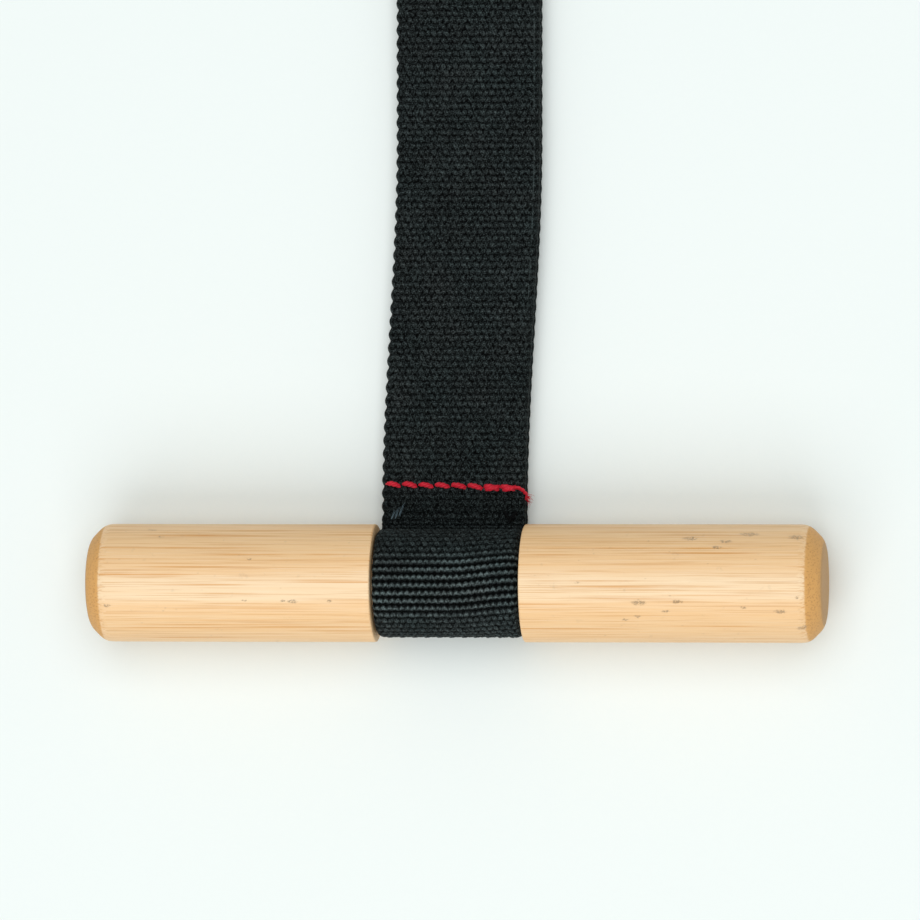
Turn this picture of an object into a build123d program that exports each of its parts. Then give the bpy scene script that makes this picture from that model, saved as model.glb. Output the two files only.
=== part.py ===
"""Toggle bar anchor strap: a grooved bamboo bar held in the bend of a doubled webbing band.

Millimetres. +X runs along the bar, +Y along the strap away from the bar, +Z up. The strap lies on
the plane z = 0 and the bar rests on it. The origin is at the bottom centre of the whole part.
Stations along the strap are given as distances from the bar's axis.
"""
import os
from math import acos, atan, atan2, cos, degrees, dist, radians, sin

from build123d import *

# Toggle bar
BAR_LENGTH = 125.0
BAR_RADIUS = 10.0
END_CHAMFER = 2.75
GROOVE_WIDTH = 25.2
GROOVE_X = -1.0  # the groove sits a little off the middle of the bar
CORE_RADIUS = 6.6
LIP_ROUND = 0.35
EDGE_ROUND = 3.2

# Webbing
WEB_WIDTH = 24.5
WEB = 2.6  # thickness of one layer
CORE_GAP = 0.05  # running clearance between the core and the webbing round it
SPLIT = 0.15  # height at which the wedge between the two legs ends

# How the two legs leave the bar: angles from its underside and from its far side
LOWER_LEAVE = 7.0
LOWER_BEND = 20.0
UPPER_LEAVE = 10.0
UPPER_BEND = 2.6

# Stations along the strap
CLOSING_ROW = 11.6
RED_ROW = 16.0
SLEEVE_FOLD = 22.0
LEAN = 2.4  # how far the strap drifts towards +X
LEAN_LENGTH = 60.0
EYE_FOLD = 170.0
RAMP_START = 176.5
RAMP_LENGTH = 12.0
SPLICE_LENGTH = 25.0
HUMP_LENGTH = 28.0
TIP_RADIUS = 7.2
RETURN_RAMP = 12.0

# Folds: the webbing is cut back on both sides of a fold, so that it can turn a right angle
FOLD_GAP = 2.9
FOLD_ROLL = 2.4
FOLD_NECK = 1.2

# Sewing
RED_PITCH = 2.8
BLACK_PITCH = 3.2
SIDE_MARGIN = 1.0
THREAD_RADIUS = 0.4  # at the turns of the thread
THREAD_WAIST = 0.36  # between the turns, where it is drawn tight
THREAD_FREE = 0.02
BITE = 0.4  # how deep the needle thread is pulled into the cloth
TAIL_OUT = 0.6
TAIL_DOWN = 2.2
THROAT_ROW_BACK = 3.0
SPLICE_BOX_BACK = 7.0
SPLICE_BOX_FRONT = 3.0

# Worked out from the sizes above
SPLICE_START = RAMP_START + RAMP_LENGTH
THROAT = SPLICE_START + SPLICE_LENGTH
TIP_CENTRE = THROAT + HUMP_LENGTH
STRAP_END = TIP_CENTRE + TIP_RADIUS + WEB / 2
BAR_Y = -(STRAP_END - BAR_RADIUS) / 2
MIDDLE = CORE_RADIUS + CORE_GAP + WEB / 2
EYE_X = GROOVE_X + LEAN
RUN_START = SLEEVE_FOLD + FOLD_GAP
RUN_END = EYE_FOLD - FOLD_GAP
EYE_START = EYE_FOLD + FOLD_GAP
EAST, WEST = (1, 0), (-1, 0)
PLAN = Plane(origin=(GROOVE_X, BAR_Y, 0), x_dir=(0, 1, 0), z_dir=(0, 0, 1))


def side_view(centre_x):
    """Plane of the strap's left edge: its first axis is the station and its second the height."""
    return Plane(origin=(centre_x - WEB_WIDTH / 2, BAR_Y, 0), x_dir=(0, 1, 0), z_dir=(1, 0, 0))


# --------------------------------------------------------- side and plan outlines of the webbing

def straight(length):
    """A straight step of a strip's middle line."""
    return (None, length)


def shift(to_left, run):
    """Two equal tangent arcs that shift a strip's middle line to its left, or right if negative."""
    half = atan(abs(to_left) / run)
    turn = degrees(2 * half) * (1 if to_left > 0 else -1)
    radius = run / (2 * sin(2 * half))
    return [(radius, turn), (radius, -turn)]


def draw(start, heading, steps, offset):
    """Draws one face of a strip, offset to the left of its middle line. Returns its first and last point."""
    along = Vector(*heading)
    first = Vector(*start) + Vector(-along.Y, along.X) * offset
    here = first
    for radius, amount in steps:
        if radius is None:
            piece = Line(here, here + along * amount)
        else:
            piece = JernArc(here, along, radius - offset * (1 if amount > 0 else -1), amount)
        here, along = piece @ 1, piece % 1
    return first, here


def strip(start, heading, steps, width):
    """Makes the face of a whole strip of this width along its middle line."""
    with BuildLine() as outline:
        left_start, left_end = draw(start, heading, steps, width / 2)
        right_start, right_end = draw(start, heading, steps, -width / 2)
        Line(left_start, right_start)
        Line(left_end, right_end)
    make_face(outline.edges())


def run_plan():
    """Makes one layer seen from above, which drifts sideways and then runs straight to the eye's fold."""
    drift = shift(-LEAN, LEAN_LENGTH)
    strip((RUN_START, 0), EAST, [*drift, straight(RUN_END - RUN_START - LEAN_LENGTH)], WEB_WIDTH)


def sleeve_outline():
    """Makes the side of the sleeve: round the bar, with both legs brought together behind it."""
    lower, upper = radians(LOWER_LEAVE), radians(UPPER_LEAVE)
    lower_drop = BAR_RADIUS - MIDDLE * cos(lower) - LOWER_BEND * (1 - cos(lower)) - WEB / 2
    lower_flat = -MIDDLE * sin(lower) + lower_drop / sin(lower) * cos(lower) + LOWER_BEND * sin(lower)
    upper_drop = BAR_RADIUS - MIDDLE * sin(upper) - UPPER_BEND * (1 + sin(upper)) - 1.5 * WEB
    upper_flat = MIDDLE * cos(upper) - upper_drop / cos(upper) * sin(upper) + UPPER_BEND * cos(upper)
    round_bar = [
        (LOWER_BEND, -LOWER_LEAVE),
        straight(lower_drop / sin(lower)),
        (MIDDLE, LOWER_LEAVE - UPPER_LEAVE - 270),
        straight(upper_drop / cos(upper)),
    ]
    end = SLEEVE_FOLD - FOLD_GAP
    with BuildLine() as outline:
        steps = [straight(end - lower_flat), *round_bar]
        steps += [(UPPER_BEND, 90 + UPPER_LEAVE), straight(end - upper_flat)]
        first, last = draw((end, WEB / 2), WEST, steps, WEB / 2)
        Line(last, first)
    make_face(outline.edges())
    inner_bend = UPPER_BEND + WEB / 2
    unturned = acos(1 - SPLIT / inner_bend)
    wedge = upper_flat - inner_bend * sin(unturned)
    with BuildLine() as outline:
        steps = [straight(wedge - lower_flat), *round_bar]
        steps += [(UPPER_BEND, 90 + UPPER_LEAVE - degrees(unturned))]
        first, last = draw((wedge, WEB / 2), WEST, steps, -WEB / 2)
        Line(last, first)
    make_face(outline.edges(), mode=Mode.SUBTRACT)


def eye_outline():
    """Makes the side of the eye: up the ramp, over the hump, round the tip and back to the tucked end."""
    ramp = [straight(RAMP_START - EYE_START), *shift(WEB, RAMP_LENGTH)]
    crest = shift(WEB / 2 + 2 * TIP_RADIUS - 2.5 * WEB, HUMP_LENGTH)
    back = shift(-WEB, RETURN_RAMP)
    tip = [(TIP_RADIUS, -180), straight(HUMP_LENGTH - RETURN_RAMP)]
    with BuildLine() as outline:
        steps = [*ramp, straight(SPLICE_LENGTH), *crest, *tip, *back, straight(SPLICE_LENGTH)]
        first, tucked = draw((EYE_START, 1.5 * WEB), EAST, steps, WEB / 2)
        start, ramp_top = draw((EYE_START, 1.5 * WEB), EAST, ramp, -WEB / 2)
        Line(tucked, ramp_top)
        Line(start, first)
    make_face(outline.edges())
    crest_face, back_face = crest[0][0] + WEB / 2, back[1][0] + WEB / 2
    opened = acos(1 - SPLIT / 2 / crest_face)
    closed = acos(1 - SPLIT / 2 / back_face)
    with BuildLine() as outline:
        mouth = (THROAT + crest_face * sin(opened), 2 * WEB + SPLIT / 2)
        upward = (cos(opened), sin(opened))
        middle = (mouth[0] - upward[1] * WEB / 2, mouth[1] + upward[0] * WEB / 2)
        steps = [(crest[0][0], crest[0][1] - degrees(opened)), crest[1], *tip]
        steps += [back[0], (back[1][0], back[1][1] - degrees(closed))]
        first, last = draw(middle, upward, steps, -WEB / 2)
        Line(last, first)
    make_face(outline.edges(), mode=Mode.SUBTRACT)


def fold_half(station, above):
    """Makes one layer's half of the soft roll that the strap turns on, and the neck that carries it."""
    side = 1 if above else -1
    with BuildLine() as outline:
        roll = CenterArc((station, WEB), FOLD_ROLL, 0, 180 * side)
        Line(roll @ 0, roll @ 1)
    make_face(outline.edges())
    with Locations((station - FOLD_GAP / 2, WEB + side * FOLD_NECK / 2)):
        Rectangle(FOLD_GAP, FOLD_NECK)


# ------------------------------------------------------------------------------------ sewn rows

def row_points(centre_x, station, pitch):
    """Needle holes of a row straight across the strap, as (x, station), as many as its width takes."""
    count = int((WEB_WIDTH - 2 * SIDE_MARGIN) / pitch)
    return [(centre_x + (i - count / 2) * pitch, station) for i in range(count + 1)]


def box_points(centre_x, near, far, pitch):
    """Needle holes of a closed rectangle of sewing, as (x, station)."""
    across = row_points(centre_x, near, pitch)
    steps = round((far - near) / pitch)
    climb = [near + (far - near) * i / steps for i in range(1, steps)]
    right, left = across[-1][0], across[0][0]
    up = [(right, station) for station in climb]
    back = [(x, far) for x, _ in reversed(across)]
    down = [(left, station) for station in reversed(climb)]
    return across + up + back + down + across[:1]


def stretches(points, height):
    """Place and length of each straight piece of thread between neighbouring points, at this height."""
    found = []
    for here, there in zip(points, points[1:]):
        middle = ((here[0] + there[0]) / 2, BAR_Y + (here[1] + there[1]) / 2, height)
        heading = degrees(atan2(there[1] - here[1], there[0] - here[0]))
        found.append((Location(middle, (0, 0, heading)), dist(here, there)))
    return found


def sewing_thread(label, holes, height, lock, tail=()):
    """A thread along the holes at this height that dips at each to lock with the one opposite."""
    with BuildPart() as thread:
        for place, length in stretches(holes + list(tail), height):
            with Locations(place):
                Cylinder(THREAD_WAIST, length, rotation=(0, 90, 0))
        for x, station in {*holes, *tail}:
            with Locations((x, BAR_Y + station, height)):
                Sphere(THREAD_RADIUS)
        for x, station in set(holes):
            with Locations((x, BAR_Y + station, (height + lock) / 2)):
                Cylinder(THREAD_WAIST, abs(height - lock))
    thread.part.label = label
    return thread.part


def needle_cuts(holes, top, bottom, tail=()):
    """Cuts the needle holes through cloth between two heights, and the furrows of the thread on them.

    The thread on top bites into the cloth, and so does its tail. One on the floor lies wholly in it.
    """
    radius = THREAD_RADIUS + THREAD_FREE
    for x, station in set(holes):
        with Locations((x, BAR_Y + station, (top + bottom) / 2)):
            Cylinder(radius, top - bottom, mode=Mode.SUBTRACT)
    furrows = [(top, 2 * BITE + 2 * THREAD_FREE)] if top > WEB else []
    furrows += [(0, 4 * radius)] if bottom == 0 else []
    for height, depth in furrows:
        for place, length in stretches(holes + list(tail), height):
            with Locations(place):
                Box(length + 2 * radius, 2 * radius, depth, mode=Mode.SUBTRACT)


# ------------------------------------------------------------------------------------- the bar

with BuildPart() as toggle_bar:
    with BuildSketch(Plane(origin=(0, BAR_Y, BAR_RADIUS), x_dir=(1, 0, 0), z_dir=(0, -1, 0))):
        with BuildLine():
            end = BAR_LENGTH / 2
            groove = [GROOVE_X - GROOVE_WIDTH / 2, GROOVE_X + GROOVE_WIDTH / 2]
            Polyline(
                (-end, 0),
                (-end, BAR_RADIUS - END_CHAMFER),
                (-end + END_CHAMFER, BAR_RADIUS),
                (groove[0], BAR_RADIUS),
                (groove[0], CORE_RADIUS),
                (groove[1], CORE_RADIUS),
                (groove[1], BAR_RADIUS),
                (end - END_CHAMFER, BAR_RADIUS),
                (end, BAR_RADIUS - END_CHAMFER),
                (end, 0),
                close=True,
            )
        make_face()
    revolve(axis=Axis((0, BAR_Y, BAR_RADIUS), (1, 0, 0)))
    rims = toggle_bar.edges().filter_by(GeomType.CIRCLE)
    outer_rims = rims.filter_by(lambda rim: rim.radius > BAR_RADIUS - 0.01)
    lips = outer_rims.filter_by(lambda rim: abs(rim.arc_center.X - GROOVE_X) < GROOVE_WIDTH)
    ends = rims.filter_by(lambda rim: abs(rim.arc_center.X) > BAR_LENGTH / 2 - END_CHAMFER - 0.01)
    fillet(lips, LIP_ROUND)
    fillet(ends, EDGE_ROUND)
toggle_bar.part.label = "toggle_bar"


# --------------------------------------------------------------------------------- the webbing

red_row = row_points(GROOVE_X, RED_ROW, RED_PITCH)
closing_row = row_points(GROOVE_X, CLOSING_ROW, BLACK_PITCH)
throat_row = row_points(EYE_X, THROAT - THROAT_ROW_BACK, RED_PITCH)
splice_box = box_points(EYE_X, SPLICE_START + SPLICE_BOX_FRONT, THROAT - SPLICE_BOX_BACK, BLACK_PITCH)
edge_x = GROOVE_X + WEB_WIDTH / 2 + TAIL_OUT
frayed_tail = [(edge_x, RED_ROW), (edge_x, RED_ROW - TAIL_DOWN)]

with BuildPart() as webbing_sleeve:
    with BuildSketch(side_view(GROOVE_X)):
        sleeve_outline()
        fold_half(SLEEVE_FOLD, above=True)
        fold_half(SLEEVE_FOLD, above=False)
    extrude(amount=WEB_WIDTH)
    needle_cuts(red_row, 2 * WEB, 0, frayed_tail[:1])
    needle_cuts(closing_row, 2 * WEB, 0)
webbing_sleeve.part.label = "webbing_sleeve"

with BuildPart() as webbing_lower_run:
    with BuildSketch(PLAN):
        run_plan()
    extrude(amount=WEB)
    with BuildSketch(side_view(EYE_X)):
        fold_half(EYE_FOLD, above=False)
    extrude(amount=WEB_WIDTH)
webbing_lower_run.part.label = "webbing_lower_run"

with BuildPart() as webbing_upper_run:
    with BuildSketch(PLAN.offset(WEB)):
        run_plan()
    extrude(amount=WEB)
    with BuildSketch(side_view(EYE_X)):
        fold_half(EYE_FOLD, above=True)
    extrude(amount=WEB_WIDTH)
webbing_upper_run.part.label = "webbing_upper_run"

with BuildPart() as webbing_eye:
    with BuildSketch(side_view(EYE_X)):
        eye_outline()
    extrude(amount=WEB_WIDTH)
    needle_cuts(throat_row, 3 * WEB, WEB)
    needle_cuts(splice_box, 3 * WEB, WEB)
webbing_eye.part.label = "webbing_eye"

with BuildPart() as webbing_lower_end:
    with BuildSketch(side_view(EYE_X)):
        with Locations(((EYE_START + THROAT) / 2, WEB / 2)):
            Rectangle(THROAT - EYE_START, WEB)
    extrude(amount=WEB_WIDTH)
    needle_cuts(throat_row, WEB, 0)
    needle_cuts(splice_box, WEB, 0)
webbing_lower_end.part.label = "webbing_lower_end"


# ----------------------------------------------------------------------------------- the threads

above_cloth = THREAD_RADIUS - BITE
in_floor_furrow = THREAD_RADIUS + THREAD_FREE
two_layers, three_layers = 2 * WEB, 3 * WEB

threads = [
    sewing_thread("closing_needle_thread", closing_row, two_layers + above_cloth, WEB),
    sewing_thread("closing_bobbin_thread", closing_row, in_floor_furrow, WEB),
    sewing_thread("red_needle_thread", red_row, two_layers + above_cloth, WEB, frayed_tail),
    sewing_thread("red_bobbin_thread", red_row, in_floor_furrow, WEB),
    sewing_thread("throat_needle_thread", throat_row, three_layers + above_cloth, three_layers / 2),
    sewing_thread("throat_bobbin_thread", throat_row, in_floor_furrow, three_layers / 2),
    sewing_thread("splice_needle_thread", splice_box, three_layers + above_cloth, three_layers / 2),
    sewing_thread("splice_bobbin_thread", splice_box, in_floor_furrow, three_layers / 2),
]

cloth = [webbing_sleeve, webbing_lower_run, webbing_upper_run, webbing_eye, webbing_lower_end]
os.makedirs("parts", exist_ok=True)
for piece in [toggle_bar.part, *(sheet.part for sheet in cloth), *threads]:
    export_step(piece, f"parts/{piece.label}.step")
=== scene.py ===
"""Looks of a toggle bar anchor strap: a grooved bamboo bar in the bend of a doubled webbing band.

Metres, in the row frame: +X along the bar, +Y along the strap away from the bar, +Z up. Sizes are
named in millimetres and multiplied by MM. Stations are distances along the strap from the bar's axis.
"""
import random

import bpy
import numpy as np
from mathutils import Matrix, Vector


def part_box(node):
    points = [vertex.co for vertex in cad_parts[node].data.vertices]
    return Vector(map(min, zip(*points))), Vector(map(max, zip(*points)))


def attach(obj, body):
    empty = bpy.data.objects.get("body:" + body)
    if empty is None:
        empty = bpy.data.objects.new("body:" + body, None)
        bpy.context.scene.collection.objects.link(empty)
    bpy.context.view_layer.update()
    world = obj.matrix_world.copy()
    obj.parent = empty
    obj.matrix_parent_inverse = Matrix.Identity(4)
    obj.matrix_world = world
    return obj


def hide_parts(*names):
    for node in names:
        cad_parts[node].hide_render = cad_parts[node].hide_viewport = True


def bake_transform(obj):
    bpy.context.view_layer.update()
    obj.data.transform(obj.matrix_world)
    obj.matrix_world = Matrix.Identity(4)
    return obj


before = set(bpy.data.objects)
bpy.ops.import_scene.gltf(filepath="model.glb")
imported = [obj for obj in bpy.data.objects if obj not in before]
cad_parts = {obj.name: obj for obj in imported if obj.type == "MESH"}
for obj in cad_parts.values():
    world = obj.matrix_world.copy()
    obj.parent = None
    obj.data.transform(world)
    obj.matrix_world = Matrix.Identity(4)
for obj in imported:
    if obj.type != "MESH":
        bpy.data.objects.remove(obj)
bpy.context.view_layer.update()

MM = 0.001
rng = random.Random(7)

# Bar
BAR_LOW, BAR_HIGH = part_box("toggle_bar")
BAR_LENGTH = (BAR_HIGH.x - BAR_LOW.x) / MM
BAR_RADIUS = (BAR_HIGH.z - BAR_LOW.z) / 2 / MM
BAR_Y = (BAR_LOW.y + BAR_HIGH.y) / 2 / MM
BAR_Z = (BAR_LOW.z + BAR_HIGH.z) / 2 / MM
CHAMFER = 2.75
EDGE_ROUND = 3.2
GROOVE_X = -1.0
GROOVE_WIDTH = 25.2
LIP_ROUND = 0.35
CORE_RADIUS = 6.6
BAR_COUNT = 144  # points round the bar

# Webbing
WEB_WIDTH = 24.5
WEB = 2.6
CORE_GAP = 0.05
MIDDLE = CORE_RADIUS + CORE_GAP + WEB / 2
LOWER_LEAVE, LOWER_BEND = 7.0, 20.0
UPPER_LEAVE, UPPER_BEND = 10.0, 2.6
LEAN = 2.5  # how far the strap drifts towards +X
LEAN_START, LEAN_END = 12.0, 75.0
SIDESTEP = -0.3  # how far it lies from the groove's middle where it leaves the bar
CLOSING_ROW, RED_ROW = 11.6, 16.0
RAMP_START, RAMP_LENGTH = 176.5, 12.0
SPLICE_LENGTH, HUMP_LENGTH = 25.0, 28.0
TIP_RADIUS, RETURN_RAMP = 7.2, 12.0
SPLICE_START = RAMP_START + RAMP_LENGTH
THROAT = SPLICE_START + SPLICE_LENGTH
THROAT_ROW = THROAT - 3.0
SPLICE_BOX_FRONT, SPLICE_BOX_BACK = 3.0, 7.0  # from the splice's start and from the throat
SEAM = 130.0  # station where the two webbing pieces meet, in both layers

# Weave: ribs across the band, each a row of small crowns, every second row half a crown along
RIB = 1.12
CROWN = 1.04
RIB_DEPTH = 0.13
OPEN_STRETCH = 0.06  # how much further apart the open ribs lie
CATCH_CORD = 11.25  # where a drawn thread runs along the right selvedge, from the middle
ZIGZAG = 0.2  # how far an open rib's line wavers, as a share of a rib
SLANT = 0.6  # how far a crown leans across, as a share of its width
SELVEDGE_LOOP = 2 * RIB
SELVEDGE_DEPTH = 0.32  # how far the edge draws in between its loops
FULLNESS = 0.08  # how far the woven edges stand out from the CAD edges
WRAP_FULLNESS = 0.18  # the same round the bar
WRAP_DEEPER = 1.7  # how much deeper the ribs are round the bar, as a share of RIB_DEPTH

# Sewing
RED_PITCH, BLACK_PITCH = 2.8, 3.2


# ------------------------------------------------------------------------------------- helpers

def smooth(value, low, high):
    """0 below low, 1 above high, and a smooth rise between."""
    t = np.clip((np.asarray(value, float) - low) / (high - low), 0, 1)
    return t * t * (3 - 2 * t)


def mesh_piece(name, points, faces, material):
    """A smooth-shaded mesh object from points in millimetres."""
    mesh = bpy.data.meshes.new(name)
    mesh.from_pydata((np.asarray(points) * MM).tolist(), [], [tuple(f) for f in faces])
    mesh.polygons.foreach_set("use_smooth", [True] * len(mesh.polygons))
    mesh.materials.append(material)
    mesh.update()
    piece = bpy.data.objects.new(name, mesh)
    bpy.context.scene.collection.objects.link(piece)
    return piece


def ring_faces(rings, around, first=0):
    """Quads between successive closed rings of points."""
    here = np.arange(around)
    there = (here + 1) % around
    faces = []
    for ring in range(rings - 1):
        low, high = first + ring * around, first + (ring + 1) * around
        faces.append(np.stack([low + here, low + there, high + there, high + here], 1))
    return np.concatenate(faces)


def sweep(path, radii, sides=8):
    """Points and faces of a round tube along a path, closed at both ends."""
    path = np.asarray(path, float)
    radii = np.broadcast_to(radii, len(path))
    tangent = np.gradient(path, axis=0)
    tangent /= np.linalg.norm(tangent, axis=1)[:, None]
    normal = np.cross(tangent[0], [0.31, 0.17, 0.93])
    rings = []
    for place, along, radius in zip(path, tangent, radii):
        normal = normal - along * normal.dot(along)
        normal /= np.linalg.norm(normal)
        other = np.cross(along, normal)
        angle = np.arange(sides) * 2 * np.pi / sides
        rings.append(place + radius * (np.outer(np.cos(angle), normal) + np.outer(np.sin(angle), other)))
    points = np.concatenate(rings)
    last = (len(path) - 1) * sides
    faces = [tuple(f) for f in ring_faces(len(path), sides)]
    faces.append(tuple(range(sides))[::-1])
    faces.append(tuple(last + i for i in range(sides)))
    return points, faces


def gather(parts):
    """One list of points and faces from several."""
    points, faces, first = [], [], 0
    for some_points, some_faces in parts:
        points.append(some_points)
        faces += [tuple(int(i) + first for i in face) for face in some_faces]
        first += len(some_points)
    return np.concatenate(points), faces


# ------------------------------------------------------------------------------------ materials

def node(tree, kind, inputs=None, **settings):
    """Adds a shader node; an input is a socket to link or a value to set."""
    made = tree.nodes.new("ShaderNode" + kind)
    for key, value in settings.items():
        setattr(made, key, value)
    for key, value in (inputs or {}).items():
        if isinstance(value, bpy.types.NodeSocket):
            tree.links.new(value, made.inputs[key])
        else:
            made.inputs[key].default_value = value
    return made


def maths(tree, operation, *values, clamp=False):
    """The result of a Math node on sockets or numbers."""
    return node(tree, "Math", dict(enumerate(values)), operation=operation, use_clamp=clamp).outputs[0]


def scaled(tree, vector, x, y, z):
    """A vector multiplied by three numbers."""
    made = node(tree, "VectorMath", {0: vector, 1: (x, y, z)}, operation="MULTIPLY")
    return made.outputs[0]


def noise(tree, vector, scale, detail=2.0, roughness=0.5):
    """Grey value of a noise texture."""
    inputs = {"Vector": vector, "Scale": scale, "Detail": detail, "Roughness": roughness}
    return node(tree, "TexNoise", inputs).outputs["Fac"]


def step_up(tree, value, low, high):
    """Smooth rise from 0 at low to 1 at high."""
    inputs = {"Value": value, "From Min": low, "From Max": high}
    return node(tree, "MapRange", inputs, interpolation_type="SMOOTHSTEP").outputs[0]


def mix_colour(tree, factor, first, second):
    """A colour mixed from two."""
    made = node(tree, "Mix", {0: factor, 6: first, 7: second}, data_type="RGBA", blend_type="MIX")
    return made.outputs[2]


def blank_material(name):
    """A new material, its node tree and its Principled shader."""
    material = bpy.data.materials.new(name)
    material.use_nodes = True
    tree = material.node_tree
    return material, tree, tree.nodes["Principled BSDF"]


def bumped(tree, shader, height, distance):
    """Sets a shader's normal from a height."""
    inputs = {"Height": height, "Distance": distance, "Strength": 1.0}
    tree.links.new(node(tree, "Bump", inputs).outputs[0], shader.inputs["Normal"])


# Marks on the wood: along the bar and towards the strap from the middle of its top, and size, mm
MARKS = [
    (40.3, 7.7, 0.6), (44.9, 6.2, 0.4), (46.4, 7.2, 0.5), (50.1, 8.4, 0.8), (58.1, 7.9, 0.7),
    (31.9, -3.1, 0.6), (38.5, -2.9, 0.45), (36.5, -4.6, 0.3), (31.7, -5.4, 0.3), (29.5, -6.0, 0.3),
    (55.7, -4.6, 0.5), (49.6, -3.9, 0.25), (21.5, 0.3, 0.25), (58.7, -2.2, 0.2), (-34.0, 4.2, 0.22),
    (-58.3, -3.8, 0.3), (-34.9, -2.9, 0.22), (-28.4, -2.9, 0.3), (-26.6, -3.0, 0.42),
    (-20.4, -2.9, 0.25), (-51.3, 9.0, 0.4), (-49.5, 7.9, 0.25), (59.8, -7.4, 0.7),
]


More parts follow.
